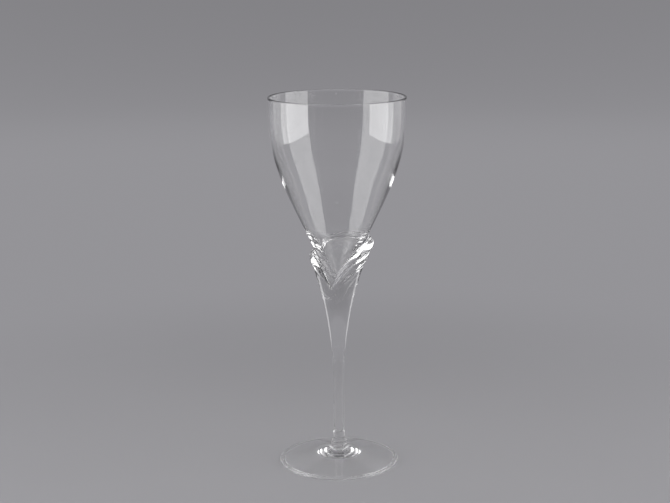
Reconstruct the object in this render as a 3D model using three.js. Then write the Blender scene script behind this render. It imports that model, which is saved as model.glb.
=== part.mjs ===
// White wine glass with a wrapped-leaf collar, in millimetres.
// +Z is up, and the origin is on the table under the foot's centre.
// Seven pieces of clear crystal are welded hot: foot, merese, drawn stem, trumpet, blown bowl and two leaves.
import * as THREE from "three";

// Foot: a thin sloped disc with a small boss, hollow underneath so that it stands on a flat ring.
// A thick pad is left in the middle of the hollow, under the stem.
const FOOT_RADIUS = 35.5;
const FOOT_EDGE = 1.9;
const FOOT_BOSS_RADIUS = 5.0;
const FOOT_BOSS_HEIGHT = 8.9;
const FOOT_FILLET_RADIUS = 12.0;
const FOOT_FILLET_HEIGHT = 6.4;
const FOOT_RING_WIDTH = 1.6;
const FOOT_ARCH_RADIUS = 13.5;
const FOOT_ARCH_HEIGHT = 4.1;
const FOOT_PAD_RADIUS = 8.0;
const FOOT_PAD_HEIGHT = 0.8;

// Merese: the small disc of glass between the foot and the stem.
const MERESE_RADIUS = 5.0;
const MERESE_HEIGHT = 3.4;
const MERESE_BEVEL = 0.5;
const MERESE_WAIST = 0.3;

// Stem: drawn out thin, flared at the bottom, a little thicker at the top.
const STEM_LENGTH = 50.7;
const STEM_RADIUS = 3.0;
const STEM_FOOT_RADIUS = 4.0;
const STEM_FLARE_HEIGHT = 8.7;
const STEM_TOP_RADIUS = 3.5;
const STEM_TAPER_START = 27.0;

// Trumpet: the solid flare above the stem. The leaves sit in a shallow step cut round it.
const TRUMPET_TO_STEP = 31.0;
const TRUMPET_STEP = 1.0;
const TRUMPET_ABOVE_STEP = 8.0;

// Flare: the outer line that the trumpet and both leaves share, up to the tip of the tall leaf.
const FLARE_PULL_RADIUS = 7.3;
const FLARE_PULL_HEIGHT = 45.0;
const FLARE_TIP_HEIGHT = 71.0;
const LEAF_TIP_THICKNESS = 5.727;

// Bowl: a blown shell on a thick base. Heights are above the flat joint with the trumpet.
const BOWL_HEIGHT = 118.0;
const BOWL_RIM_RADIUS = 40.0;
const BOWL_RIM_WALL = 1.0;
const BOWL_CONE_WALL = 1.5;
const BOWL_CONE_HEIGHT = 53.0;
const BOWL_CONE_RADIUS = 25.5;
const BOWL_CONE_SLOPE = 0.487;
const BOWL_RIM_PULL = 17.5;
const BOWL_CONE_PULL = 31.0;
const BOWL_NECK_HEIGHT = 38.0;
const BOWL_NECK_PULL = 16.0;
const BOWL_NECK_SLOPE = 0.21;
const BOWL_FLOOR_HEIGHT = 12.0;
const BOWL_FLOOR_WIDTH = 3.6;

// Leaves: heights are above the step. Azimuths are in degrees from +X towards +Y, and the front is -Y.
const FRONT_CLEFT_AZIMUTH = -113;
const FRONT_CLEFT_HEIGHT = 14.5;
const BACK_CLEFT_AZIMUTH = 152;
const BACK_CLEFT_HEIGHT = 29.0;
const CLEFT_LIP = 1.3;
const LIP_CREST = 0.3;

// Tall leaf: a proud roll under its lip, a crease below the roll, and a swelling below the crease.
const TALL_LEAF_PEAK_AZIMUTH = 42;
const TALL_LEAF_HEIGHT = 44.0;
const TALL_LEAF_LIP = 4.6;
const TALL_LEAF_ROLL = 0.9;
const TALL_LEAF_ROLL_WIDTH = 6.0;
const TALL_LEAF_CREASE = 1.0;
const TALL_LEAF_SWELL = 0.8;

// Low leaf: a wide flat lip with a soft crease.
const LOW_LEAF_PEAK_AZIMUTH = 178;
const LOW_LEAF_HEIGHT = 35.8;
const LOW_LEAF_LIP = 5.0;
const LOW_LEAF_ROLL_WIDTH = 9.0;
const LOW_LEAF_CREASE = 0.3;

const ROLL_FADE = 1.3;
const RELIEF_START = 0.35;
const CREASE_WIDTH = 0.9;
const SWELL_WIDTH = 9.0;

// Clearance between a leaf and what it is wrapped round, and between the two leaves.
const JOINT_GAP = 0.3;

const ROUND_STEPS = 48;
const ROD_STEPS = 36;
const CURVE_STEPS = 8;
const LEAF_STEP_DEGREES = 6;
const LEAF_ROWS = 24;
const LEAF_ROW_CROWDING = 1.35;

// Levels along the axis, stacked from the table up.
const mereseBase = FOOT_BOSS_HEIGHT;
const stemBase = mereseBase + MERESE_HEIGHT;
const trumpetBase = stemBase + STEM_LENGTH;
const leafBase = trumpetBase + TRUMPET_TO_STEP;
const bowlBase = leafBase + TRUMPET_ABOVE_STEP;
const rimTop = bowlBase + BOWL_HEIGHT;

const point = (radius, z) => new THREE.Vector2(radius, z);
const toRadians = THREE.MathUtils.degToRad;

// Revolves an outline of (radius, height) points round +Z.
function turned(outline, steps) {
  return new THREE.LatheGeometry(outline, steps).rotateX(Math.PI / 2);
}

// The radius of a rising curve at one height.
function radiusAt(curve, z) {
  let low = 0;
  let high = 1;
  for (let i = 0; i < 40; i += 1) {
    const middle = (low + high) / 2;
    if (curve.getPoint(middle).y < z) low = middle;
    else high = middle;
  }
  return curve.getPoint((low + high) / 2).x;
}

// A rounded edge: a quarter of an ellipse from one point to another, leaving the first one upright.
function roundedTo(from, to, steps) {
  const corner = [];
  for (let i = 1; i <= steps; i += 1) {
    const angle = (i / steps) * (Math.PI / 2);
    const radius = to.x + (from.x - to.x) * Math.cos(angle);
    corner.push(point(radius, from.y + (to.y - from.y) * Math.sin(angle)));
  }
  return corner;
}

// Straight cone of the bowl's lower half.
const coneZ = bowlBase + BOWL_CONE_HEIGHT;
const coneRadius = (z) => BOWL_CONE_RADIUS - (coneZ - z) * BOWL_CONE_SLOPE;

// Outer line of trumpet and leaves. Its tip stands off the cone by the thickness of the tall leaf.
const tipZ = trumpetBase + FLARE_TIP_HEIGHT;
const flare = new THREE.QuadraticBezierCurve(
  point(STEM_TOP_RADIUS, trumpetBase),
  point(FLARE_PULL_RADIUS, trumpetBase + FLARE_PULL_HEIGHT),
  point(coneRadius(tipZ) + LEAF_TIP_THICKNESS, tipZ),
);
const stepRadius = radiusAt(flare, leafBase);

// Core under the leaves: from the trumpet's step up into the bowl's cone.
const neckZ = bowlBase + BOWL_NECK_HEIGHT;
const neck = new THREE.CubicBezierCurve(
  point(stepRadius - TRUMPET_STEP, leafBase),
  point(stepRadius - TRUMPET_STEP + BOWL_NECK_PULL * BOWL_NECK_SLOPE, leafBase + BOWL_NECK_PULL),
  point(coneRadius(neckZ - BOWL_NECK_PULL), neckZ - BOWL_NECK_PULL),
  point(coneRadius(neckZ), neckZ),
);
const coreRadius = (z) => (z < neckZ ? radiusAt(neck, z) : coneRadius(z));

function footGeometry() {
  const edgeRadius = FOOT_RADIUS - FOOT_EDGE / 2;
  const ringInside = edgeRadius - FOOT_RING_WIDTH;
  const pad = new THREE.CubicBezierCurve(
    point(0, FOOT_PAD_HEIGHT),
    point(FOOT_PAD_RADIUS, FOOT_PAD_HEIGHT),
    point(FOOT_PAD_RADIUS + 1, FOOT_ARCH_HEIGHT),
    point(FOOT_ARCH_RADIUS, FOOT_ARCH_HEIGHT));
  const disc = new THREE.QuadraticBezierCurve(
    point(edgeRadius, FOOT_EDGE),
    point((edgeRadius + FOOT_FILLET_RADIUS) / 2, (FOOT_EDGE + FOOT_FILLET_HEIGHT) / 2),
    point(FOOT_FILLET_RADIUS, FOOT_FILLET_HEIGHT));
  const fillet = new THREE.QuadraticBezierCurve(
    point(FOOT_FILLET_RADIUS, FOOT_FILLET_HEIGHT),
    point(FOOT_BOSS_RADIUS + MERESE_BEVEL, FOOT_FILLET_HEIGHT + MERESE_BEVEL),
    point(FOOT_BOSS_RADIUS, FOOT_BOSS_HEIGHT));
  const waist = point(FOOT_RADIUS, FOOT_EDGE / 2);
  const upperEdge = roundedTo(waist, point(edgeRadius, FOOT_EDGE), 3);
  const lowerEdge = roundedTo(waist, point(edgeRadius, 0), 3).reverse();
  return turned([
    ...pad.getPoints(CURVE_STEPS),
    point(ringInside, 0),
    ...lowerEdge,
    waist,
    ...upperEdge,
    ...disc.getPoints(CURVE_STEPS / 4).slice(1),
    ...fillet.getPoints(CURVE_STEPS).slice(1),
    point(0, FOOT_BOSS_HEIGHT),
  ], ROUND_STEPS);
}

function mereseGeometry() {
  return turned([
    point(0, mereseBase),
    point(MERESE_RADIUS - MERESE_BEVEL, mereseBase),
    point(MERESE_RADIUS, mereseBase + MERESE_BEVEL),
    point(MERESE_RADIUS - MERESE_WAIST, (mereseBase + stemBase) / 2),
    point(MERESE_RADIUS, stemBase - MERESE_BEVEL),
    point(MERESE_RADIUS - MERESE_BEVEL, stemBase),
    point(0, stemBase),
  ], ROD_STEPS);
}

function stemGeometry() {
  const bottomFlare = new THREE.QuadraticBezierCurve(
    point(STEM_FOOT_RADIUS, stemBase),
    point((STEM_RADIUS + STEM_FOOT_RADIUS) / 2, stemBase + STEM_FLARE_HEIGHT * 0.4),
    point(STEM_RADIUS, stemBase + STEM_FLARE_HEIGHT));
  const taper = new THREE.QuadraticBezierCurve(
    point(STEM_RADIUS, stemBase + STEM_TAPER_START),
    point(STEM_RADIUS, (stemBase + STEM_TAPER_START + trumpetBase) / 2),
    point(STEM_TOP_RADIUS, trumpetBase));
  return turned([
    point(0, stemBase),
    ...bottomFlare.getPoints(CURVE_STEPS),
    ...taper.getPoints(CURVE_STEPS / 2),
    point(0, trumpetBase),
  ], ROD_STEPS);
}

function trumpetGeometry() {
  const outline = [point(0, trumpetBase)];
  for (let i = 0; i <= CURVE_STEPS; i += 1) {
    const z = trumpetBase + (i / CURVE_STEPS) * TRUMPET_TO_STEP;
    outline.push(point(radiusAt(flare, z), z));
  }
  for (let i = 0; i <= CURVE_STEPS / 2; i += 1) {
    const z = leafBase + (i / (CURVE_STEPS / 2)) * TRUMPET_ABOVE_STEP;
    outline.push(point(coreRadius(z), z));
  }
  outline.push(point(0, bowlBase));
  return turned(outline, ROD_STEPS);
}

function bowlGeometry() {
  const outline = [point(0, bowlBase)];
  for (let i = 0; i <= CURVE_STEPS; i += 1) {
    const z = bowlBase + (i / CURVE_STEPS) * BOWL_NECK_HEIGHT;
    outline.push(point(coreRadius(z), z));
  }
  const outside = new THREE.CubicBezierCurve(
    point(BOWL_CONE_RADIUS, coneZ),
    point(BOWL_CONE_RADIUS + BOWL_CONE_PULL * BOWL_CONE_SLOPE, coneZ + BOWL_CONE_PULL),
    point(BOWL_RIM_RADIUS, rimTop - BOWL_RIM_PULL),
    point(BOWL_RIM_RADIUS, rimTop - BOWL_RIM_WALL / 2));
  outline.push(...outside.getPoints(CURVE_STEPS));
  const crest = point(BOWL_RIM_RADIUS - BOWL_RIM_WALL / 2, rimTop);
  const innerLip = point(BOWL_RIM_RADIUS - BOWL_RIM_WALL, rimTop - BOWL_RIM_WALL / 2);
  outline.push(...roundedTo(outside.v3, crest, 2));
  outline.push(...roundedTo(innerLip, crest, 2).reverse().slice(1));
  const inside = new THREE.CubicBezierCurve(
    innerLip,
    point(innerLip.x, rimTop - BOWL_RIM_PULL),
    point(outside.v1.x - BOWL_CONE_WALL, outside.v1.y),
    point(BOWL_CONE_RADIUS - BOWL_CONE_WALL, coneZ));
  outline.push(...inside.getPoints(CURVE_STEPS));
  const floorZ = bowlBase + BOWL_FLOOR_HEIGHT;
  const pull = (coneZ - floorZ) / 2;
  const well = new THREE.CubicBezierCurve(
    inside.v3,
    point(inside.v3.x - pull * BOWL_CONE_SLOPE, coneZ - pull),
    point(BOWL_FLOOR_WIDTH, floorZ),
    point(0, floorZ));
  outline.push(...well.getPoints(CURVE_STEPS).slice(1));
  return turned(outline, ROUND_STEPS);
}

// One leaf runs from a cleft, up over its peak and down to the other cleft.
// Rise is 0 at a cleft and 1 at the peak.
function leafEdge(leaf, azimuth) {
  const { start, peak, end } = leaf;
  const side = azimuth < peak.azimuth ? start : end;
  const away = (peak.azimuth - azimuth) / (peak.azimuth - side.azimuth);
  const rise = 1 - Math.min(1, Math.pow(away, side.fullness));
  const z = leafBase + side.height + (peak.height - side.height) * rise;
  return { z, rise, lip: CLEFT_LIP + (leaf.lip - CLEFT_LIP) * rise };
}

// How far the outer face of a leaf stands proud of the flare: roll, crease and swelling.
// All three fade out towards the clefts.
function leafRelief(leaf, edge, z) {
  const rollWidth = CLEFT_LIP + leaf.rollWidth * Math.pow(edge.rise, ROLL_FADE);
  const creaseZ = edge.z - rollWidth;
  const alongRoll = THREE.MathUtils.clamp((z - creaseZ) / rollWidth, 0, 1);
  const alongSwell = THREE.MathUtils.clamp((z - creaseZ) / SWELL_WIDTH + 1, 0, 1);
  const acrossCrease = (z - creaseZ) / CREASE_WIDTH;
  const roll = leaf.roll * Math.sin(Math.PI * alongRoll);
  const swell = leaf.swell * Math.pow(Math.sin(Math.PI * alongSwell), 2);
  const crease = leaf.crease * Math.exp(-acrossCrease * acrossCrease);
  return THREE.MathUtils.smoothstep(edge.rise, 0, RELIEF_START) * (roll + swell - crease);
}

// A leaf cut by an upright plane through the axis: outer face, rolled lip, and inner face against the core.
function leafSection(leaf, azimuth) {
  const edge = leafEdge(leaf, azimuth);
  const lipZ = edge.z - edge.lip;
  const innerAt = (z) => coreRadius(z) + JOINT_GAP;
  const section = [];
  for (let i = 0; i <= LEAF_ROWS; i += 1) {
    const z = lipZ - Math.pow(1 - i / LEAF_ROWS, LEAF_ROW_CROWDING) * (lipZ - leafBase);
    section.push(point(radiusAt(flare, z) + leafRelief(leaf, edge, z), z));
  }
  const outer = section[section.length - 1];
  const root = innerAt(edge.z);
  const crest = point(root + LIP_CREST * (outer.x - root), edge.z);
  const innerLipZ = edge.z - LIP_CREST * edge.lip;
  const innerLip = point(innerAt(innerLipZ), innerLipZ);
  section.push(...roundedTo(outer, crest, 5));
  section.push(...roundedTo(innerLip, crest, 3).reverse().slice(1), innerLip);
  for (let i = 1; i <= CURVE_STEPS; i += 1) {
    const z = innerLipZ + (i / CURVE_STEPS) * (leafBase - innerLipZ);
    section.push(point(innerAt(z), z));
  }
  return section;
}

// Lofts a leaf through its sections. The two end faces stand back from the cleft by half the clearance.
function leafGeometry(leaf) {
  const spread = leaf.end.azimuth - leaf.start.azimuth;
  const steps = Math.round(spread / LEAF_STEP_DEGREES);
  const positions = [];
  const indices = [];
  let count = 0;
  for (let i = 0; i <= steps; i += 1) {
    const azimuth = leaf.start.azimuth + (i / steps) * spread;
    const aside = i === 0 ? JOINT_GAP / 2 : i === steps ? -JOINT_GAP / 2 : 0;
    const cos = Math.cos(toRadians(azimuth));
    const sin = Math.sin(toRadians(azimuth));
    const section = leafSection(leaf, azimuth);
    count = section.length;
    for (const { x: radius, y: z } of section) {
      positions.push(radius * cos - aside * sin, radius * sin + aside * cos, z);
    }
    if (i === 0 || i === steps) {
      for (const [a, b, c] of THREE.ShapeUtils.triangulateShape(section, [])) {
        const face = [a, b, c].map((k) => i * count + k);
        indices.push(...(i === 0 ? face : face.reverse()));
      }
    }
  }
  for (let i = 0; i < steps; i += 1) {
    for (let k = 0; k < count; k += 1) {
      const next = (k + 1) % count;
      const [a, b] = [i * count + k, i * count + next];
      const [c, d] = [a + count, b + count];
      indices.push(a, c, b, b, c, d);
    }
  }
  const geometry = new THREE.BufferGeometry();
  geometry.setAttribute("position", new THREE.Float32BufferAttribute(positions, 3));
  geometry.setIndex(indices);
  geometry.computeVertexNormals();
  return geometry;
}

const frontCleft = { azimuth: FRONT_CLEFT_AZIMUTH, height: FRONT_CLEFT_HEIGHT };
const backCleft = { azimuth: BACK_CLEFT_AZIMUTH, height: BACK_CLEFT_HEIGHT };
const tallLeaf = {
  start: { ...frontCleft, fullness: 2.7 },
  peak: { azimuth: TALL_LEAF_PEAK_AZIMUTH, height: TALL_LEAF_HEIGHT },
  end: { ...backCleft, fullness: 5 },
  lip: TALL_LEAF_LIP,
  roll: TALL_LEAF_ROLL,
  rollWidth: TALL_LEAF_ROLL_WIDTH,
  crease: TALL_LEAF_CREASE,
  swell: TALL_LEAF_SWELL,
};
const lowLeaf = {
  start: { ...backCleft, fullness: 2.5 },
  peak: { azimuth: LOW_LEAF_PEAK_AZIMUTH, height: LOW_LEAF_HEIGHT },
  end: { azimuth: FRONT_CLEFT_AZIMUTH + 360, height: FRONT_CLEFT_HEIGHT, fullness: 1.9 },
  lip: LOW_LEAF_LIP,
  roll: 0,
  rollWidth: LOW_LEAF_ROLL_WIDTH,
  crease: LOW_LEAF_CREASE,
  swell: 0,
};

const wineGlass = new THREE.Group();

function addPiece(name, geometry, colour) {
  const material = new THREE.MeshStandardMaterial({ color: colour, roughness: 0.03, metalness: 0 });
  const mesh = new THREE.Mesh(geometry, material);
  mesh.name = name;
  wineGlass.add(mesh);
}

addPiece("foot", footGeometry(), 0xe9edee);
addPiece("merese", mereseGeometry(), 0xe6ebec);
addPiece("stem", stemGeometry(), 0xecf0f1);
addPiece("trumpet", trumpetGeometry(), 0xe8edee);
addPiece("bowl", bowlGeometry(), 0xf1f4f5);
addPiece("tall_leaf", leafGeometry(tallLeaf), 0xeaeff0);
addPiece("low_leaf", leafGeometry(lowLeaf), 0xe7eced);

export default wineGlass;
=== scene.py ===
# %% [markdown]
# A white wine glass, worked hot from clear crystal: a foot, a small disc called the merese, a drawn stem,
# a solid trumpet, a blown bowl, and two leaves wrapped round the bowl's base. Each becomes a closed mesh
# of its own. The places and sizes could be typed in again here, but the frame already holds them. So the
# lesson starts by reading the box of each piece, and every new shape lands where the solid of the same
# name was.

import math

import bpy
import numpy as np
from mathutils import Euler, Matrix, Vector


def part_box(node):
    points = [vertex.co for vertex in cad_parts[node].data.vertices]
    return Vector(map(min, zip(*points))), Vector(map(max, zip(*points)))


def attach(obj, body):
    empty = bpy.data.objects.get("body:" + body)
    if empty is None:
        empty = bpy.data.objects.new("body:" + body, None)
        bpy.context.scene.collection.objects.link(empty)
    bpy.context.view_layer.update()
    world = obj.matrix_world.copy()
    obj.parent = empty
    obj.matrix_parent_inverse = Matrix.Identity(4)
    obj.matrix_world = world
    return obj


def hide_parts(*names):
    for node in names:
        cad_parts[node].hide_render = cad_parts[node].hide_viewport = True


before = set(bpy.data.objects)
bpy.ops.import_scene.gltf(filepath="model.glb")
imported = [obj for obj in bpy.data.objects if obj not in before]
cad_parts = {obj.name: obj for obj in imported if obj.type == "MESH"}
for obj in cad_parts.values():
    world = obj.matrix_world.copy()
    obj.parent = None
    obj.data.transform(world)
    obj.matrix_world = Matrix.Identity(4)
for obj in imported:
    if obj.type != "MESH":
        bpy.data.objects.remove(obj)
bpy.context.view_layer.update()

foot_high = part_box("foot")[1]
merese_low, merese_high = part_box("merese")
stem_low, stem_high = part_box("stem")
leaf_low, leaf_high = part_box("tall_leaf")
bowl_low, bowl_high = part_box("bowl")
low_leaf_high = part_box("low_leaf")[1]
print("pieces in the frame:", sorted(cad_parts))
print(f"height {bowl_high[2] * 1000:.1f} mm")
print(f"rim {bowl_high[0] * 2000:.1f} mm across, foot {foot_high[0] * 2000:.1f} mm across")

# %% [markdown]
# A glassblower thinks of a profile as a few points with smooth sweeps between them. Blender has curve
# objects for that, and they would do for the round pieces. The leaves need a different profile at every
# azimuth, though, so the lines are computed here, and two helpers are enough for all of them: a Bezier
# curve and a quarter of an ellipse.

# %% Curves
MM = 0.001


def bezier(points, count):
    """Points along a Bezier curve through its first and last control point."""
    t = np.linspace(0.0, 1.0, count)[:, None]
    degree = len(points) - 1
    curve = 0.0
    for k, p in enumerate(points):
        curve = curve + math.comb(degree, k) * t**k * (1 - t) ** (degree - k) * np.array(p)
    return curve


def rounded(start, end, count):
    """A quarter ellipse that leaves the start upright and reaches the end level."""
    angle = np.linspace(0.0, math.pi / 2, count)
    radius = end[0] + (start[0] - end[0]) * np.cos(angle)
    height = start[1] + (end[1] - start[1]) * np.sin(angle)
    return np.column_stack([radius, height])


print("a quarter round of 1 mm:", np.round(rounded((MM, 0.0), (0.0, MM), 3), 4).tolist())

# %% [markdown]
# Three lines shape the middle of the glass. The flare is the outside of trumpet and leaves. The core is
# the skin of the bowl that the leaves cover. The edge is the wavy top of the two leaves. Each could be
# drawn again in every piece that it touches, but then the pieces would part where the copies differ. As
# functions of the height, flare and core are written once, and all pieces ask them.

# %% Lines shared by several pieces
FLARE_PULL = (7.3 * MM, 45.0 * MM)
FLARE_TIP = (21.0 * MM, 71.0 * MM)
STEM_TOP_RADIUS = 3.5 * MM
CONE_RADIUS = 25.5 * MM
CONE_HEIGHT = 53.0 * MM
CONE_SLOPE = 0.487
NECK_HEIGHT = 38.0 * MM
NECK_PULL = 16.0 * MM
NECK_SLOPE = 0.21
STEP_DEPTH = 1.0 * MM
LINE_POINTS = 600
TIP_POINTS = 30

trumpet_base = stem_high[2]
leaf_base = leaf_low[2]
bowl_base = bowl_low[2]
rim_top = bowl_high[2]
cone_z = bowl_base + CONE_HEIGHT
neck_z = bowl_base + NECK_HEIGHT

flare_line = bezier(
    [
        (STEM_TOP_RADIUS, trumpet_base),
        (FLARE_PULL[0], trumpet_base + FLARE_PULL[1]),
        (FLARE_TIP[0], trumpet_base + FLARE_TIP[1]),
    ],
    LINE_POINTS,
)


def flare(z):
    """Radius of the outer line of trumpet and leaves, carried on straight above its tip."""
    tip, before = flare_line[-1], flare_line[-TIP_POINTS]
    slope = (tip[0] - before[0]) / (tip[1] - before[1])
    inside = np.interp(z, flare_line[:, 1], flare_line[:, 0])
    return np.where(z > tip[1], tip[0] + (z - tip[1]) * slope, inside)


def cone(z):
    """Radius of the straight lower wall of the bowl."""
    return CONE_RADIUS - (cone_z - z) * CONE_SLOPE


step_radius = float(flare(leaf_base)) - STEP_DEPTH
neck_line = bezier(
    [
        (step_radius, leaf_base),
        (step_radius + NECK_PULL * NECK_SLOPE, leaf_base + NECK_PULL),
        (cone(neck_z - NECK_PULL), neck_z - NECK_PULL),
        (cone(neck_z), neck_z),
    ],
    LINE_POINTS,
)


def core(z):
    """Radius of the glass that the leaves are wrapped round."""
    return np.where(z < neck_z, np.interp(z, neck_line[:, 1], neck_line[:, 0]), cone(z))


print(f"step under the leaves: radius {step_radius * 1000:.2f} mm at {leaf_base * 1000:.1f} mm")

# %% [markdown]
# The two leaves meet in clefts, one in front and one at the back, and rise to a peak between them. The
# edge could be sculpted by hand. A power curve from each cleft to the peak needs only a few numbers, and
# its fullness says how soon the leaf swings up. Azimuths run in degrees from +X towards +Y, so the
# photographed side is at -90. All pieces share one list of azimuths, and so their welded edges fit
# exactly.

# %% Edges of the two leaves
FRONT_CLEFT = {"azimuth": -113.0, "height": 14.5 * MM}
BACK_CLEFT = {"azimuth": 152.0, "height": 29.0 * MM}
CLEFT_LIP = 1.3 * MM
LIP_CREST = 0.3
TALL_LEAF = {
    "start": FRONT_CLEFT["azimuth"],
    "peak": 42.0,
    "end": BACK_CLEFT["azimuth"],
    "start_height": FRONT_CLEFT["height"],
    "end_height": BACK_CLEFT["height"],
    "start_fullness": 2.7,
    "end_fullness": 3.0,
    "height": leaf_high[2] - leaf_base,
    "lip": 4.6 * MM,
    "roll": 0.9 * MM,
    "roll_width": 6.0 * MM,
    "crease": 1.0 * MM,
    "swell": 0.8 * MM,
    "tool_mark": 0.02 * MM,
    "columns": 252,
}
LOW_LEAF = {
    "start": BACK_CLEFT["azimuth"],
    "peak": 178.0,
    "end": FRONT_CLEFT["azimuth"] + 360.0,
    "start_height": BACK_CLEFT["height"],
    "end_height": FRONT_CLEFT["height"],
    "start_fullness": 2.5,
    "end_fullness": 1.9,
    "height": low_leaf_high[2] - leaf_base,
    "lip": 5.0 * MM,
    "roll": 0.0,
    "roll_width": 9.0 * MM,
    "crease": 0.3 * MM,
    "swell": 0.0,
    "tool_mark": 0.0,
    "columns": 108,
}


def leaf_edge(leaf, azimuth):
    """Height of a leaf's top edge, depth of its rolled lip, and how far it has risen from the cleft."""
    first = azimuth < leaf["peak"]
    side = np.where(first, leaf["start"], leaf["end"])
    side_height = np.where(first, leaf["start_height"], leaf["end_height"])
    fullness = np.where(first, leaf["start_fullness"], leaf["end_fullness"])
    away = np.abs((leaf["peak"] - azimuth) / (leaf["peak"] - side))
    rise = 1.0 - np.minimum(away**fullness, 1.0)
    z = leaf_base + side_height + (leaf["height"] - side_height) * rise
    return z, CLEFT_LIP + (leaf["lip"] - CLEFT_LIP) * rise, rise


tall_azimuths = np.linspace(TALL_LEAF["start"], TALL_LEAF["end"], TALL_LEAF["columns"] + 1)
low_azimuths = np.linspace(LOW_LEAF["start"], LOW_LEAF["end"], LOW_LEAF["columns"] + 1)
azimuths = np.concatenate([tall_azimuths[:-1], low_azimuths[:-1]])
tall_z, tall_lip, _ = leaf_edge(TALL_LEAF, tall_azimuths[:-1])
low_z, low_lip, _ = leaf_edge(LOW_LEAF, low_azimuths[:-1])
contact_z = np.concatenate([tall_z - LIP_CREST * tall_lip, low_z - LIP_CREST * low_lip])
print(f"leaf edge: highest {tall_z.max() * 1000:.1f} mm, lowest {contact_z.min() * 1000:.1f} mm")

# %% [markdown]
# Crystal, paper and lamps all get their look from shader nodes. In Blender's editor nodes are placed and
# wired by hand. In a script that takes many lines, so three small helpers do it: one adds a node and
# wires or sets its sockets, one makes a soft step between two values, and one combines two outputs.

# %% Helpers for shader nodes
def add_node(tree, kind, sockets, **settings):
    """Adds a node. A socket that gets another node's output is linked, and any other is set."""
    node = tree.nodes.new(kind)
    for name, setting in settings.items():
        setattr(node, name, setting)
    for name, value in sockets.items():
        if isinstance(value, bpy.types.NodeSocket):
            tree.links.new(value, node.inputs[name])
        else:
            node.inputs[name].default_value = value
    return node


def ramp(tree, value, low, high, at_low, at_high, step="SMOOTHSTEP"):
    """A step from one value to another while something measured on the surface goes from low to high."""
    sockets = {"Value": value, "From Min": low, "From Max": high, "To Min": at_low, "To Max": at_high}
    return add_node(tree, "ShaderNodeMapRange", sockets, interpolation_type=step).outputs["Result"]


def combine(tree, operation, first, second, clamp=False):
    """The sum, product or maximum of two outputs."""
    sockets = {0: first, 1: second}
    node = add_node(tree, "ShaderNodeMath", sockets, operation=operation, use_clamp=clamp)
    return node.outputs["Value"]


def new_material(name):
    """A material with nodes, and its node tree."""
    material = bpy.data.materials.new(name)
    material.use_nodes = True
    return material, material.node_tree


def set_surface(tree, output):
    """Makes an output the surface of the material."""
    tree.links.new(output, tree.nodes["Material Output"].inputs["Surface"])


print("node helpers:", add_node.__name__, ramp.__name__, combine.__name__)

# %% [markdown]
# The glass is clear crystal, polished by the flame. A Glass BSDF would do for the picture. The Principled
# shader with full transmission looks the same, and other programs can read it.
# Its index of refraction of 1.54 is a little more than window glass has, and makes crystal sparkle.

# %% Clear crystal
CRYSTAL_INDEX = 1.54
crystal, crystal_tree = new_material("crystal")
shader = crystal_tree.nodes["Principled BSDF"]
shader.inputs["Base Color"].default_value = (1.0, 1.0, 1.0, 1.0)
shader.inputs["Transmission Weight"].default_value = 1.0
shader.inputs["IOR"].default_value = CRYSTAL_INDEX
spot = add_node(crystal_tree, "ShaderNodeTexCoord", {}).outputs["Object"]
height = add_node(crystal_tree, "ShaderNodeSeparateXYZ", {"Vector": spot}).outputs["Z"]
print("crystal: index of refraction", CRYSTAL_INDEX)

# %% [markdown]
# A blown wall is never quite even. Faint upright waves, which glassmakers call cords, make reflections
# waver a little along the bowl. Moving the mesh by a few hundredths of a millimetre would take very many
# faces, so a noise that is stretched along the height tilts the surface through a Bump node. At the
# leaves and below them the glass is pressed and drawn smooth, and there the waves have faded out.

# %% Cords in the bowl wall
CORD_SCALE, CORD_DETAIL = 85.0, 1.0
CORD_STRETCH = 0.22
CORD_DEPTH = 0.07 * MM
CORD_START, CORD_END = 0.140, 0.165


def noise(scale, detail, place=spot):
    """Soft random patches on the crystal, from 0 to 1."""
    sockets = {"Vector": place, "Scale": scale, "Detail": detail}
    return add_node(crystal_tree, "ShaderNodeTexNoise", sockets).outputs["Fac"]


upright = add_node(crystal_tree, "ShaderNodeMapping", {"Vector": spot, "Scale": (1.0, 1.0, CORD_STRETCH)})
waves = noise(CORD_SCALE, CORD_DETAIL, upright.outputs["Vector"])
on_bowl = ramp(crystal_tree, height, CORD_START, CORD_END, 0.0, 1.0)
cord_sockets = {"Distance": CORD_DEPTH, "Height": waves, "Strength": on_bowl}
cords = add_node(crystal_tree, "ShaderNodeBump", cord_sockets)
crystal_tree.links.new(cords.outputs["Normal"], shader.inputs["Normal"])
print(f"cords: {CORD_DEPTH * 1000:.2f} mm deep above {CORD_START * 1000:.0f} mm")

# %% [markdown]
# Used glass isn't equally clean all over. Wiping leaves a thin haze in patches, water leaves a few dried
# dots, and the ring on which the glass stands is scuffed. A picture of dirt could be laid over it. Here
# three patterns raise the roughness, and the largest of them wins at each spot, so the glass stays clear
# everywhere else.

# %% Haze, scuffs and dried dots
HAZE_SCALE, HAZE_DETAIL = 26.0, 4.0
HAZE_START, HAZE_FULL = 0.54, 0.74
HAZE_ROUGHNESS = 0.03
SCUFF_SCALE, SCUFF_DETAIL = 900.0, 2.0
SCUFF_FULL, SCUFF_END = 0.1 * MM, 0.5 * MM
SCUFF_ROUGHNESS = 0.5
DOT_SCALE = 150.0
DOT_FULL, DOT_END = 0.10, 0.16
DOT_CHANCE, DOT_CERTAIN = 0.86, 0.90
DOT_ROUGHNESS = 0.2

haze = ramp(crystal_tree, noise(HAZE_SCALE, HAZE_DETAIL), HAZE_START, HAZE_FULL, 0.0, HAZE_ROUGHNESS)
near_table = ramp(crystal_tree, height, SCUFF_FULL, SCUFF_END, SCUFF_ROUGHNESS, 0.0)
scuffs = combine(crystal_tree, "MULTIPLY", near_table, noise(SCUFF_SCALE, SCUFF_DETAIL))

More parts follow.
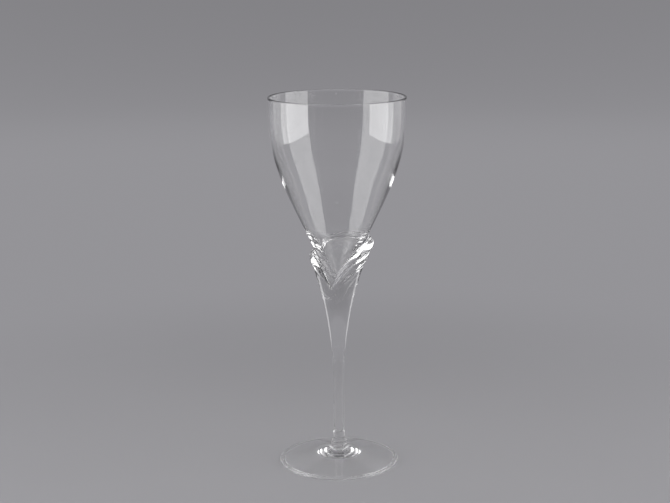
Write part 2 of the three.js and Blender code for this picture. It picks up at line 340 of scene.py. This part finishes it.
cells = add_node(crystal_tree, "ShaderNodeTexVoronoi", {"Vector": spot, "Scale": DOT_SCALE})
lottery = add_node(crystal_tree, "ShaderNodeSeparateColor", {"Color": cells.outputs["Color"]})
round_dots = ramp(crystal_tree, cells.outputs["Distance"], DOT_FULL, DOT_END, DOT_ROUGHNESS, 0.0)
chosen = ramp(crystal_tree, lottery.outputs["Red"], DOT_CHANCE, DOT_CERTAIN, 0.0, 1.0)
dots = combine(crystal_tree, "MULTIPLY", round_dots, chosen)

haze_or_scuffs = combine(crystal_tree, "MAXIMUM", haze, scuffs)
roughness = combine(crystal_tree, "MAXIMUM", haze_or_scuffs, dots)
crystal_tree.links.new(roughness, shader.inputs["Roughness"])
print(f"roughness: haze {HAZE_ROUGHNESS}, scuffs {SCUFF_ROUGHNESS}, dots {DOT_ROUGHNESS}")

# %% [markdown]
# A glass hardly darkens the table, because light goes through it. Tracing that light through every curve
# is slow and leaves white specks. So a ray on its way to a lamp, which Blender calls a shadow ray, meets
# a clear grey film in place of the crystal, and each skin of the glass takes a little of the light.

# %% Light through the crystal
FILM_GREY = (0.88, 0.88, 0.88, 1.0)
path = add_node(crystal_tree, "ShaderNodeLightPath", {})
film = add_node(crystal_tree, "ShaderNodeBsdfTransparent", {"Color": FILM_GREY})
crystal_or_film = {"Fac": path.outputs["Is Shadow Ray"], 1: shader.outputs[0], 2: film.outputs[0]}
set_surface(crystal_tree, add_node(crystal_tree, "ShaderNodeMixShader", crystal_or_film).outputs[0])
print("each skin lets through", FILM_GREY[0], "of the light")

# %% [markdown]
# The pieces are welded while hot, and light crosses a weld without seeing it. The seven pieces could be
# joined into one mesh, but then they couldn't be told apart any more. So each stays a closed body, its
# outside carries the crystal, and the hidden faces at the welds carry a fully clear material.

# %% Welds
weld, weld_tree = new_material("weld")
weld_tree.nodes.remove(weld_tree.nodes["Principled BSDF"])
set_surface(weld_tree, add_node(weld_tree, "ShaderNodeBsdfTransparent", {}).outputs[0])


def glass_piece(node, points, faces, welded):
    """Makes one closed piece. Its welded faces get the clear material, and their border stays crisp."""
    mesh = bpy.data.meshes.new(node)
    mesh.from_pydata(points.tolist(), [], faces)
    mesh.materials.append(crystal)
    mesh.materials.append(weld)
    mesh.polygons.foreach_set("material_index", np.array(welded, dtype=np.int32))
    mesh.polygons.foreach_set("use_smooth", np.ones(len(faces), dtype=bool))
    sides = {}
    for polygon in mesh.polygons:
        for key in polygon.edge_keys:
            sides.setdefault(key, set()).add(polygon.material_index)
    for edge in mesh.edges:
        edge.use_edge_sharp = len(sides[edge.key]) == 2
    piece = bpy.data.objects.new(f"{node}_crystal", mesh)
    bpy.context.scene.collection.objects.link(piece)
    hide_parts(node)
    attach(piece, "root")
    low, high = points[:, 2].min() * 1000, points[:, 2].max() * 1000
    print(f"{node}: {len(faces)} faces, {low:.1f} to {high:.1f} mm, {sum(welded)} weld faces")


print("materials:", crystal.name, weld.name)

# %% [markdown]
# Foot, merese, stem, trumpet and bowl are round. Blender's Screw modifier can spin a profile, but it has
# one profile for all sides, and the bowl's skin changes with the azimuth where the leaves cover it. This
# helper takes an outline for each azimuth, and the plain pieces repeat the same one.

# %% Round pieces
def turned(node, outlines, welded_steps):
    """A round piece. Each azimuth has its own outline, from the axis below to the axis above."""
    columns, count = outlines.shape[:2]
    radians = np.radians(azimuths)[:, None]
    inner = outlines[:, 1:-1]
    x, y = inner[..., 0] * np.cos(radians), inner[..., 0] * np.sin(radians)
    points = np.stack([x, y, inner[..., 1]], axis=-1).reshape(-1, 3)
    bottom, top = len(points), len(points) + 1
    points = np.vstack([points, [[0, 0, outlines[0, 0, 1]], [0, 0, outlines[0, -1, 1]]]])
    row = count - 2
    faces, welded = [], []
    for i in range(columns):
        here, there = i * row, (i + 1) % columns * row
        faces.append((bottom, there, here))
        welded.append(welded_steps[0])
        for k in range(row - 1):
            faces.append((here + k, there + k, there + k + 1, here + k + 1))
            welded.append(welded_steps[k + 1])
        faces.append((here + row - 1, there + row - 1, top))
        welded.append(welded_steps[-1])
    glass_piece(node, points, faces, welded)


def plain_turned(node, outline, welded_steps):
    """A round piece with the same outline on all sides."""
    turned(node, np.repeat(outline[None], len(azimuths), axis=0), welded_steps)


def steps(outline, *welded_ranges):
    """One flag per step of an outline: true where the step belongs to a weld face."""
    flags = [False] * (len(outline) - 1)
    for first, last in welded_ranges:
        for k in range(first, last):
            flags[k] = True
    return flags


print("columns round the glass:", len(azimuths))

# %% [markdown]
# The foot is dropped on hot and spun out to a thin disc with a round edge, and a small boss is left in
# the middle for the merese. A flat disc would be simpler. On a real foot the underside is hollow, so that
# it stands on a narrow ring, and a thick pad is left under the stem. Where top and underside run side by
# side, the table shows through plainly. Where the pad and the soft flank of the boss change the
# thickness, the glass bends the softboxes into two bright wings.

# %% Foot
FOOT_EDGE = 1.9 * MM
FOOT_BOSS_RADIUS = 5.0 * MM
FOOT_FILLET = (12.0 * MM, 6.4 * MM)
BOSS_FLANK = (3.0 * MM, 1.2 * MM)
FOOT_RING_WIDTH = 1.6 * MM
FOOT_ARCH = (13.5 * MM, 4.5 * MM)
RING_HEIGHT = 0.8 * MM
RING_LEAN = 0.5 * MM
RING_ROUNDING = (0.2, 0.9)
PAD_HEIGHT = 0.8 * MM
PAD_RADIUS = 3.0 * MM
PAD_SLOPE = 1.0 * MM
MERESE_BEVEL = 0.5 * MM
PAD_POINTS, HOLLOW_POINTS, RING_POINTS = 60, 30, 12
EDGE_POINTS, TOP_POINTS, BEVEL_POINTS = 10, 24, 6

foot_radius = foot_high[0]
boss_top = foot_high[2]
edge_radius = foot_radius - FOOT_EDGE / 2
ring_inside = edge_radius - FOOT_RING_WIDTH
waist = (foot_radius, FOOT_EDGE / 2)
joint_radius = FOOT_BOSS_RADIUS - MERESE_BEVEL
pad = (0.0, PAD_HEIGHT)
pad_edge = (PAD_RADIUS, PAD_HEIGHT)
pad_flank = (PAD_RADIUS + PAD_SLOPE, FOOT_ARCH[1])
ring_top = (ring_inside - RING_LEAN, RING_HEIGHT)
ring_bend = (ring_inside - RING_ROUNDING[0] * RING_LEAN, RING_ROUNDING[1] * RING_HEIGHT)
ring_foot = (ring_inside, 0.0)
edge_top = (edge_radius, FOOT_EDGE)
boss_flank = (FOOT_BOSS_RADIUS + BOSS_FLANK[0], FOOT_FILLET[1] + BOSS_FLANK[1])
boss_edge = (FOOT_BOSS_RADIUS, boss_top - MERESE_BEVEL / 2)
foot_outline = np.vstack(
    [
        bezier([pad, pad_edge, pad_flank, FOOT_ARCH], PAD_POINTS),
        bezier([FOOT_ARCH, ring_top], HOLLOW_POINTS)[1:],
        bezier([ring_top, ring_bend, ring_foot], EDGE_POINTS)[1:],
        bezier([ring_foot, (edge_radius, 0.0)], RING_POINTS)[1:-1],
        rounded(waist, (edge_radius, 0.0), EDGE_POINTS)[::-1],
        rounded(waist, edge_top, EDGE_POINTS)[1:],
        bezier([edge_top, FOOT_FILLET], TOP_POINTS)[1:],
        bezier([FOOT_FILLET, boss_flank, boss_edge], TOP_POINTS)[1:],
        rounded(boss_edge, (joint_radius, boss_top), BEVEL_POINTS)[1:],
        [(0.0, boss_top)],
    ]
)
last = len(foot_outline) - 1
plain_turned("foot", foot_outline, steps(foot_outline, (last - 1, last)))

# %% [markdown]
# The merese is a button of glass that joins foot and stem. A plain cylinder would show as a dull block.
# The real one is pressed a little, so its side is hollow and its two rims are round, and the rims catch
# the light as rings.

# %% Merese
MERESE_WAIST = 0.3 * MM
STEM_FOOT_RADIUS = 4.0 * MM
WAIST_POINTS = 12
merese_radius = merese_high[0]
merese_base, stem_base = merese_low[2], stem_low[2]
lower_rim = (merese_radius, merese_base + MERESE_BEVEL)
middle = (merese_radius - 2 * MERESE_WAIST, (merese_base + stem_base) / 2)
upper_rim = (merese_radius, stem_base - MERESE_BEVEL)
shoulder_radius = (joint_radius + STEM_FOOT_RADIUS) / 2
merese_outline = np.vstack(
    [
        [(0.0, merese_base)],
        rounded(lower_rim, (joint_radius, merese_base), BEVEL_POINTS)[::-1],
        bezier([lower_rim, middle, upper_rim], WAIST_POINTS)[1:-1],
        rounded(upper_rim, (joint_radius, stem_base), BEVEL_POINTS),
        [(shoulder_radius, stem_base), (STEM_FOOT_RADIUS, stem_base), (0.0, stem_base)],
    ]
)
last = len(merese_outline) - 1
plain_turned("merese", merese_outline, steps(merese_outline, (0, 1), (last - 1, last)))

# %% [markdown]
# The stem is drawn out of a hot gather, which leaves it thinnest in the lower half, a little thicker at
# the top, and flared where it was set down. A scaled cylinder has no such swing, so two Bezier curves
# draw the flare and the taper.

# %% Stem
STEM_RADIUS = 3.0 * MM
STEM_FLARE_HEIGHT = 8.7 * MM
STEM_FLARE_PULL = 0.4
STEM_TAPER_START = 27.0 * MM
STEM_FLARE_POINTS, STEM_TAPER_POINTS = 20, 24
taper_z = stem_base + STEM_TAPER_START
flare_pull = ((STEM_RADIUS + STEM_FOOT_RADIUS) / 2, stem_base + STEM_FLARE_HEIGHT * STEM_FLARE_PULL)
flare_end = (STEM_RADIUS, stem_base + STEM_FLARE_HEIGHT)
taper_pull = (STEM_RADIUS, (taper_z + trumpet_base) / 2)
stem_outline = np.vstack(
    [
        [(0.0, stem_base)],
        bezier([(STEM_FOOT_RADIUS, stem_base), flare_pull, flare_end], STEM_FLARE_POINTS),
        bezier([(STEM_RADIUS, taper_z), taper_pull, (STEM_TOP_RADIUS, trumpet_base)], STEM_TAPER_POINTS),
        [(0.0, trumpet_base)],
    ]
)
last = len(stem_outline) - 1
plain_turned("stem", stem_outline, steps(stem_outline, (0, 1), (last - 1, last)))

# %% [markdown]
# The trumpet is the solid flare that carries the bowl. It could be one piece with the stem, but on the
# real glass a faint ring shows where the two were joined. Its upper end is a step narrower and disappears
# between the leaves, and there its faces are weld.

# %% Trumpet
TRUMPET_ROWS, STEP_ROWS = 40, 10
trumpet_z = np.linspace(trumpet_base, leaf_base, TRUMPET_ROWS)
hidden_z = np.linspace(leaf_base, bowl_base, STEP_ROWS)
trumpet_outline = np.vstack(
    [
        [(0.0, trumpet_base)],
        np.column_stack([flare(trumpet_z), trumpet_z]),
        np.column_stack([core(hidden_z), hidden_z]),
        [(0.0, bowl_base)],
    ]
)
last = len(trumpet_outline) - 1
plain_turned("trumpet", trumpet_outline, steps(trumpet_outline, (0, 1), (TRUMPET_ROWS, last)))

# %% [markdown]
# The bowl is blown, and its wall is not the same all the way: thin at the rim, a little thicker in a belt
# on the shoulder, and heavy at the bottom, where the glass ran together. A Solidify modifier would give
# it one thickness. Here the inside is the outside less a wall that changes with the height, and this
# change draws the bright marks at the sides of the bowl.

# %% Wall of the bowl
RIM_WALL = 0.9 * MM
BELT_WALL = 0.8 * MM
BELT_HEIGHT = 63.0 * MM
BELT_WIDTH = 16.0 * MM
HEAVY_HEIGHT = 42.0 * MM
HEAVY_FULLNESS = 1.4
WELL_RADIUS = 2.0 * MM
FLOOR_HEIGHT = 12.0 * MM
RIM_PULL = 17.5 * MM
CONE_PULL = 31.0 * MM
OUTSIDE_POINTS = 400
rim_radius = bowl_high[0]
lip_z = rim_top - RIM_WALL / 2
floor_z = bowl_base + FLOOR_HEIGHT
heavy_z = bowl_base + HEAVY_HEIGHT
cone_pull = (CONE_RADIUS + CONE_PULL * CONE_SLOPE, cone_z + CONE_PULL)
outside_curve = [(CONE_RADIUS, cone_z), cone_pull, (rim_radius, rim_top - RIM_PULL), (rim_radius, lip_z)]
outside_line = bezier(outside_curve, OUTSIDE_POINTS)


def outside(z):
    """Outer radius of the bowl."""
    return np.where(z < cone_z, core(z), np.interp(z, outside_line[:, 1], outside_line[:, 0]))


def wall(z):
    """Thickness of the wall: thin at the rim, more in a belt on the shoulder, heavy at the bottom."""
    belt = BELT_WALL * np.exp(-(((z - bowl_base - BELT_HEIGHT) / BELT_WIDTH) ** 2))
    solid = float(outside(floor_z)) - WELL_RADIUS - RIM_WALL
    heavy = solid * np.clip((heavy_z - z) / (heavy_z - floor_z), 0.0, 1.0) ** HEAVY_FULLNESS
    return RIM_WALL + belt + heavy


print(f"wall at the top of the cone: {float(wall(cone_z)) * 1000:.2f} mm")

# %% [markdown]
# The rim is melted round in the flame, and the floor of the bowl is a small rounded well. The outside is
# bare glass only above the leaves. A boolean could cut the skin along their edge, but it leaves ragged
# faces. So each azimuth has its own rows below and above the height where its leaf ends, and the mesh
# follows the wavy edge by itself.

# %% Bowl
WELL_ROUNDING = 6.0 * MM
WELL_PULL = 0.65
WELL_FLATNESS = 0.6
UPPER_ROWS, LOWER_ROWS = 48, 36
HIDDEN_ROWS, BARE_ROWS = 16, 18
LIP_POINTS, WELL_POINTS = 7, 20
crest = (rim_radius - RIM_WALL / 2, rim_top)
inner_lip = (rim_radius - RIM_WALL, lip_z)
well_z = floor_z + WELL_ROUNDING
upper_z = np.linspace(lip_z, cone_z, UPPER_ROWS)
inside_z = np.concatenate([upper_z, np.linspace(cone_z, well_z, LOWER_ROWS)[1:]])
inside_line = np.column_stack([outside(inside_z) - wall(inside_z), inside_z])
end, before = inside_line[-1], inside_line[-2]
well_pull = end + (end - before) * (WELL_PULL * WELL_ROUNDING / (before[1] - end[1]))
above_leaves = np.vstack(
    [
        bezier(outside_curve, UPPER_ROWS),
        rounded((rim_radius, lip_z), crest, LIP_POINTS)[1:],
        rounded(inner_lip, crest, LIP_POINTS)[::-1][1:],
        inside_line[1:],
        bezier([end, well_pull, (WELL_FLATNESS * WELL_RADIUS, floor_z), (0.0, floor_z)], WELL_POINTS)[1:],
    ]
)
bowl_outlines = []
for contact in contact_z:
    hidden = np.linspace(bowl_base, contact, HIDDEN_ROWS + 1)
    bare = np.linspace(contact, cone_z, BARE_ROWS + 1)[1:-1]
    heights = np.concatenate([hidden, bare])
    side = np.column_stack([core(heights), heights])
    bowl_outlines.append(np.vstack([[(0.0, bowl_base)], side, above_leaves]))
bowl_outlines = np.array(bowl_outlines)
turned("bowl", bowl_outlines, steps(bowl_outlines[0], (0, HIDDEN_ROWS + 1)))

# %% [markdown]
# Each leaf is a wad of hot glass that was laid against the bowl, pulled up to a wavy edge and rolled
# outwards to a fat lip. A crease runs under the roll, the tall leaf swells again below it, and the tool
# left fine marks across its low part. All this could be sculpted. Written as heights over the flare, it
# follows the edge on its way up, and it can be tuned until the softboxes break into the white bands of
# the collar.

# %% Relief of a leaf
ROLL_FADE = 1.3
RELIEF_START = 0.35
CREASE_WIDTH = 0.9 * MM
SWELL_WIDTH = 9.0 * MM
TOOL_PITCH = 1.5 * MM
TOOL_REACH = (2.0 * MM, 15.0 * MM)


def leaf_relief(leaf, edge_z, rise, z):
    """How far the outside stands proud of the flare: roll, crease under it, swelling, and tool marks."""
    roll_width = CLEFT_LIP + leaf["roll_width"] * rise**ROLL_FADE
    crease_z = edge_z - roll_width
    roll = np.sin(math.pi * np.clip((z - crease_z) / roll_width, 0.0, 1.0))
    swell = np.sin(math.pi * np.clip((z - crease_z) / SWELL_WIDTH + 1.0, 0.0, 1.0)) ** 2
    crease = np.exp(-(((z - crease_z) / CREASE_WIDTH) ** 2))
    start = min(1.0, rise / RELIEF_START)
    proud = start * start * (3 - 2 * start)
    reach = np.clip((edge_z - z - TOOL_REACH[0]) / (TOOL_REACH[1] - TOOL_REACH[0]), 0.0, 1.0)
    marks = leaf["tool_mark"] * np.sin(math.tau * (edge_z - z) / TOOL_PITCH) * np.sin(math.pi * reach)
    shape = leaf["roll"] * roll + leaf["swell"] * swell - leaf["crease"] * crease
    return (1.0 - rise) * marks + proud * shape


print(f"tool marks every {TOOL_PITCH * 1000:.1f} mm, crease {CREASE_WIDTH * 1000:.1f} mm wide")

# %% [markdown]
# A leaf is lofted: an upright section through it at each azimuth, and faces between one section and the
# next. A section goes up the outside, over the nose of the lip, and down the skin of the bowl again.
# Blender could bridge the sections as edge loops, but here all have the same number of points, so the
# faces can simply be counted out.

# %% Leaves
OUTER_ROWS, NOSE_ROWS, INNER_NOSE_ROWS = 110, 14, 8


def leaf_section(leaf, edge_z, lip, rise):
    """The closed outline of a leaf at one azimuth."""
    outer_z = np.linspace(leaf_base, edge_z - lip, OUTER_ROWS + 1)
    outer = np.column_stack([flare(outer_z) + leaf_relief(leaf, edge_z, rise, outer_z), outer_z])
    root = float(core(edge_z))
    nose = (root + LIP_CREST * (outer[-1, 0] - root), edge_z)
    contact = edge_z - LIP_CREST * lip
    inner_nose = (float(core(contact)), contact)
    inner_z = np.linspace(contact, bowl_base, HIDDEN_ROWS + 1)[1:]
    below_z = np.linspace(bowl_base, leaf_base, STEP_ROWS)[1:]
    inner_z = np.concatenate([inner_z, below_z])
    return np.vstack(
        [
            outer,
            rounded(outer[-1], nose, NOSE_ROWS + 1)[1:],
            rounded(inner_nose, nose, INNER_NOSE_ROWS + 1)[::-1][1:],
            np.column_stack([core(inner_z), inner_z]),
        ]
    )


def leaf_piece(node, leaf, leaf_azimuths):
    """Lofts a leaf through its sections. The skin on the bowl and the ends in the clefts are weld."""
    sections = np.array([leaf_section(leaf, *edge) for edge in zip(*leaf_edge(leaf, leaf_azimuths))])
    columns, count = sections.shape[:2]
    radians = np.radians(leaf_azimuths)[:, None]
    x, y = sections[..., 0] * np.cos(radians), sections[..., 0] * np.sin(radians)
    points = np.stack([x, y, sections[..., 1]], axis=-1).reshape(-1, 3)
    bare_steps = OUTER_ROWS + NOSE_ROWS + INNER_NOSE_ROWS
    faces, welded = [], []
    for i in range(columns - 1):
        for k in range(count):
            here, after = i * count + k, i * count + (k + 1) % count
            faces.append((here, here + count, after + count, after))
            welded.append(k >= bare_steps)
    first_end = list(range(count))
    last_end = [(columns - 1) * count + k for k in reversed(range(count))]
    glass_piece(node, points, faces + [first_end, last_end], welded + [True, True])


leaf_piece("tall_leaf", TALL_LEAF, tall_azimuths)
leaf_piece("low_leaf", LOW_LEAF, low_azimuths)

# %% [markdown]
# The glass stands on grey paper. A plane and a wall would meet in a line that shows through the glass, so
# studios hang the paper in a curve. This sweep is round, flat under the glass and curved up to a wall on
# every side, and no horizon shows whichever way the camera looks. It lies a hair below the foot, because
# two faces at the same height would flicker.

# %% Sweep
FLOOR_DROP = 0.05 * MM
SWEEP_HUB = 0.05
SWEEP_FLAT = 1.7
SWEEP_COVE = 0.9
SWEEP_WALL = 2.0
FLAT_POINTS, COVE_POINTS = 12, 25
SWEEP_TURN = 3.0
cove = rounded((SWEEP_FLAT + SWEEP_COVE, 0.0), (SWEEP_FLAT, SWEEP_COVE), COVE_POINTS)
cove = np.column_stack([cove[:, 0], SWEEP_COVE - cove[:, 1]])[::-1]
sweep_outline = np.vstack(
    [
        np.column_stack([np.linspace(SWEEP_HUB, SWEEP_FLAT, FLAT_POINTS), np.zeros(FLAT_POINTS)]),
        cove[1:],
        [(SWEEP_FLAT + SWEEP_COVE, SWEEP_WALL)],
    ]
)
sweep_outline[:, 1] -= FLOOR_DROP
turn = np.radians(np.arange(0.0, 360.0, SWEEP_TURN))
sweep_points = [(r * math.cos(a), r * math.sin(a), z) for a in turn for r, z in sweep_outline]
row, columns = len(sweep_outline), len(turn)
sweep_faces = [
    (i * row + k, i * row + k + 1, (i + 1) % columns * row + k + 1, (i + 1) % columns * row + k)
    for i in range(columns)
    for k in range(row - 1)
]
sweep_faces.append(tuple(i * row for i in range(columns)))
sweep_mesh = bpy.data.meshes.new("sweep")
sweep_mesh.from_pydata(sweep_points, [], sweep_faces)
sweep_mesh.polygons.foreach_set("use_smooth", np.ones(len(sweep_faces), dtype=bool))
sweep = bpy.data.objects.new("sweep", sweep_mesh)
bpy.context.scene.collection.objects.link(sweep)
print(f"sweep: flat to {SWEEP_FLAT} m, wall at {SWEEP_FLAT + SWEEP_COVE} m")

# %% [markdown]
# Close to the glass the paper is matte and takes its shadow. Further out it would need lamps of its own
# to stay even, so there it glows a little instead. Towards the back it falls off, as the photographed
# paper does. What the glass mirrors of the paper in front of it and close behind it counts for half, as
# if the dark room began there. That draws the dark edges low on the bowl, while the foot and the upper
# bowl mirror the far paper as bright as it is.

# %% Paper
PAPER_GREY = (0.51, 0.505, 0.525, 1.0)
GLOW_GREY = (0.298, 0.294, 0.312, 1.0)
MATTE_RADIUS, GLOW_RADIUS = 0.06, 0.45
MIRRORED_GLOW = 0.5
ROOM_EDGE, PAPER_EDGE = 0.3, 0.9
BACK_GLOW = 0.72
FADE_START, FADE_END = 1.1, 2.6
paper, paper_tree = new_material("paper")
paper_tree.nodes.remove(paper_tree.nodes["Principled BSDF"])
place = add_node(paper_tree, "ShaderNodeNewGeometry", {}).outputs["Position"]
distance = add_node(paper_tree, "ShaderNodeVectorMath", {0: place}, operation="LENGTH").outputs["Value"]
depth = add_node(paper_tree, "ShaderNodeSeparateXYZ", {"Vector": place}).outputs["Y"]
mirrors = add_node(paper_tree, "ShaderNodeLightPath", {}).outputs["Glossy Depth"]

room_side = ramp(paper_tree, depth, ROOM_EDGE, PAPER_EDGE, 1.0, 0.0)
mirrored_room = combine(paper_tree, "MULTIPLY", mirrors, room_side)
dimming = ramp(paper_tree, mirrored_room, 0.0, 1.0, 1.0, MIRRORED_GLOW, step="LINEAR")
fade = ramp(paper_tree, depth, FADE_START, FADE_END, 1.0, BACK_GLOW)
strength = combine(paper_tree, "MULTIPLY", dimming, fade)

matte = add_node(paper_tree, "ShaderNodeBsdfDiffuse", {"Color": PAPER_GREY})
glow = add_node(paper_tree, "ShaderNodeEmission", {"Color": GLOW_GREY, "Strength": strength})
far = ramp(paper_tree, distance, MATTE_RADIUS, GLOW_RADIUS, 0.0, 1.0)
near_or_far = {"Fac": far, 1: matte.outputs[0], 2: glow.outputs[0]}
set_surface(paper_tree, add_node(paper_tree, "ShaderNodeMixShader", near_or_far).outputs[0])
sweep_mesh.materials.append(paper)
print(f"paper: matte to {MATTE_RADIUS} m, glowing from {GLOW_RADIUS} m")

# %% [markdown]
# Two tall softboxes stand left and right of the glass, mostly in front of it, and their reflections are
# the pale strips in the bowl. Behind each hangs a dimmer wing, which softens the edge of the strip. One
# lamp a side could do all the work. From the side, though, the far lamp would stand behind the bowl as a
# white sheet. So each softbox is a pair: one lamp lights the paper, and the other shows only in what the
# glass mirrors or what it throws on the paper.

# %% Softboxes
LAMP_DISTANCE = 0.6
LAMP_BOTTOM, LAMP_TOP = 0.01, 0.8
LAMP_BACK, WING_BACK = 0.14, 0.50
LEFT_FRONT, RIGHT_FRONT = -0.55, -0.45
LAMP_GAP = 0.01
LAMP_RADIANCE = 2.2
WING_RADIANCE = 0.35


def softbox(name, side, y_near, y_far, radiance):
    """An upright lamp on the left or right of the glass, as bright to look at as its radiance says."""
    lamp = bpy.data.lights.new(name, "AREA")
    lamp.shape = "RECTANGLE"
    lamp.size = LAMP_TOP - LAMP_BOTTOM
    lamp.size_y = y_far - y_near
    lamp.energy = radiance * math.pi * lamp.size * lamp.size_y
    stand = bpy.data.objects.new(name, lamp)
    stand.location = (side * LAMP_DISTANCE, (y_near + y_far) / 2, (LAMP_BOTTOM + LAMP_TOP) / 2)
    stand.rotation_euler = (0.0, side * math.pi / 2, 0.0)
    stand.visible_camera = False
    bpy.context.scene.collection.objects.link(stand)
    print(f"{name}: {lamp.size:.2f} by {lamp.size_y:.2f} m, {lamp.energy:.2f} W")
    return stand


for name, side, front in (("left", -1, LEFT_FRONT), ("right", 1, RIGHT_FRONT)):
    for_paper = softbox(f"{name}_for_paper", side, front, LAMP_BACK, LAMP_RADIANCE)
    for_paper.location.x += side * LAMP_GAP
    for_paper.visible_glossy = False
    for_paper.visible_transmission = False
    for_glass = softbox(f"{name}_for_glass", side, front, LAMP_BACK, LAMP_RADIANCE)
    for_glass.visible_diffuse = False
    for_glass.data.use_nodes = True
    lamp_tree = for_glass.data.node_tree
    path = add_node(lamp_tree, "ShaderNodeLightPath", {}).outputs
    bounced = combine(lamp_tree, "ADD", path["Glossy Depth"], path["Diffuse Depth"], clamp=True)
    lamp_tree.links.new(bounced, lamp_tree.nodes["Emission"].inputs["Strength"])
    softbox(f"{name}_wing", side, LAMP_BACK, WING_BACK, WING_RADIANCE)

# %% [markdown]
# A small lamp hangs over the glass, so that the table under the foot isn't left dark. The rest of the
# room is nearly black, which gives glass the dark edges that show its shape. Light also needs many turns
# to get out of thick leaves again. With the usual few bounces they would turn black inside, so the limits
# are raised.

# %% Overhead lamp, dark room and bounces
OVERHEAD_SIZE = 0.4
OVERHEAD_HEIGHT = 1.2
OVERHEAD_RADIANCE = 2.0
ROOM_GREY = (0.02, 0.02, 0.021, 1.0)
BOUNCES = 64
overhead = bpy.data.lights.new("overhead", "AREA")
overhead.size = OVERHEAD_SIZE
overhead.energy = OVERHEAD_RADIANCE * math.pi * OVERHEAD_SIZE**2
hanging = bpy.data.objects.new("overhead", overhead)
hanging.location = (0.0, 0.0, OVERHEAD_HEIGHT)
hanging.visible_camera = False
bpy.context.scene.collection.objects.link(hanging)

world = bpy.data.worlds.new("room")
world.use_nodes = True
world.node_tree.nodes["Background"].inputs["Color"].default_value = ROOM_GREY
bpy.context.scene.world = world

cycles = bpy.context.scene.cycles
cycles.max_bounces = BOUNCES
cycles.transmission_bounces = BOUNCES
cycles.glossy_bounces = BOUNCES
cycles.transparent_max_bounces = BOUNCES
print(f"overhead: {overhead.energy:.2f} W, {BOUNCES} bounces")

# %% [markdown]
# The camera stands 0.84 m in front of the glass and 0.32 m up, and looks down a little. It could be
# placed by eye. The rim and the foot are circles, though, and how flat their ellipses look in the photo
# gives the height and the distance. Yaw and roll take up the small lean of the picture.

# %% Camera
CAMERA_PLACE = (0.0, -0.8362, 0.3155)
CAMERA_PITCH = 12.58
CAMERA_YAW = 0.118
CAMERA_ROLL = -0.35
CAMERA_SENSOR = 36.0
CAMERA_LENS = 78.4
camera_data = bpy.data.cameras.new("camera")
camera_data.sensor_width = CAMERA_SENSOR
camera_data.lens = CAMERA_LENS
camera = bpy.data.objects.new("camera", camera_data)
camera.location = CAMERA_PLACE
tilt = Euler((math.radians(90.0 - CAMERA_PITCH), 0.0, math.radians(CAMERA_YAW))).to_matrix()
camera.rotation_euler = (tilt @ Matrix.Rotation(math.radians(CAMERA_ROLL), 3, "Z")).to_euler()
bpy.context.scene.collection.objects.link(camera)
bpy.context.scene.camera = camera
bpy.context.scene.view_settings.view_transform = "Standard"
print("camera at", CAMERA_PLACE, "lens", CAMERA_LENS)
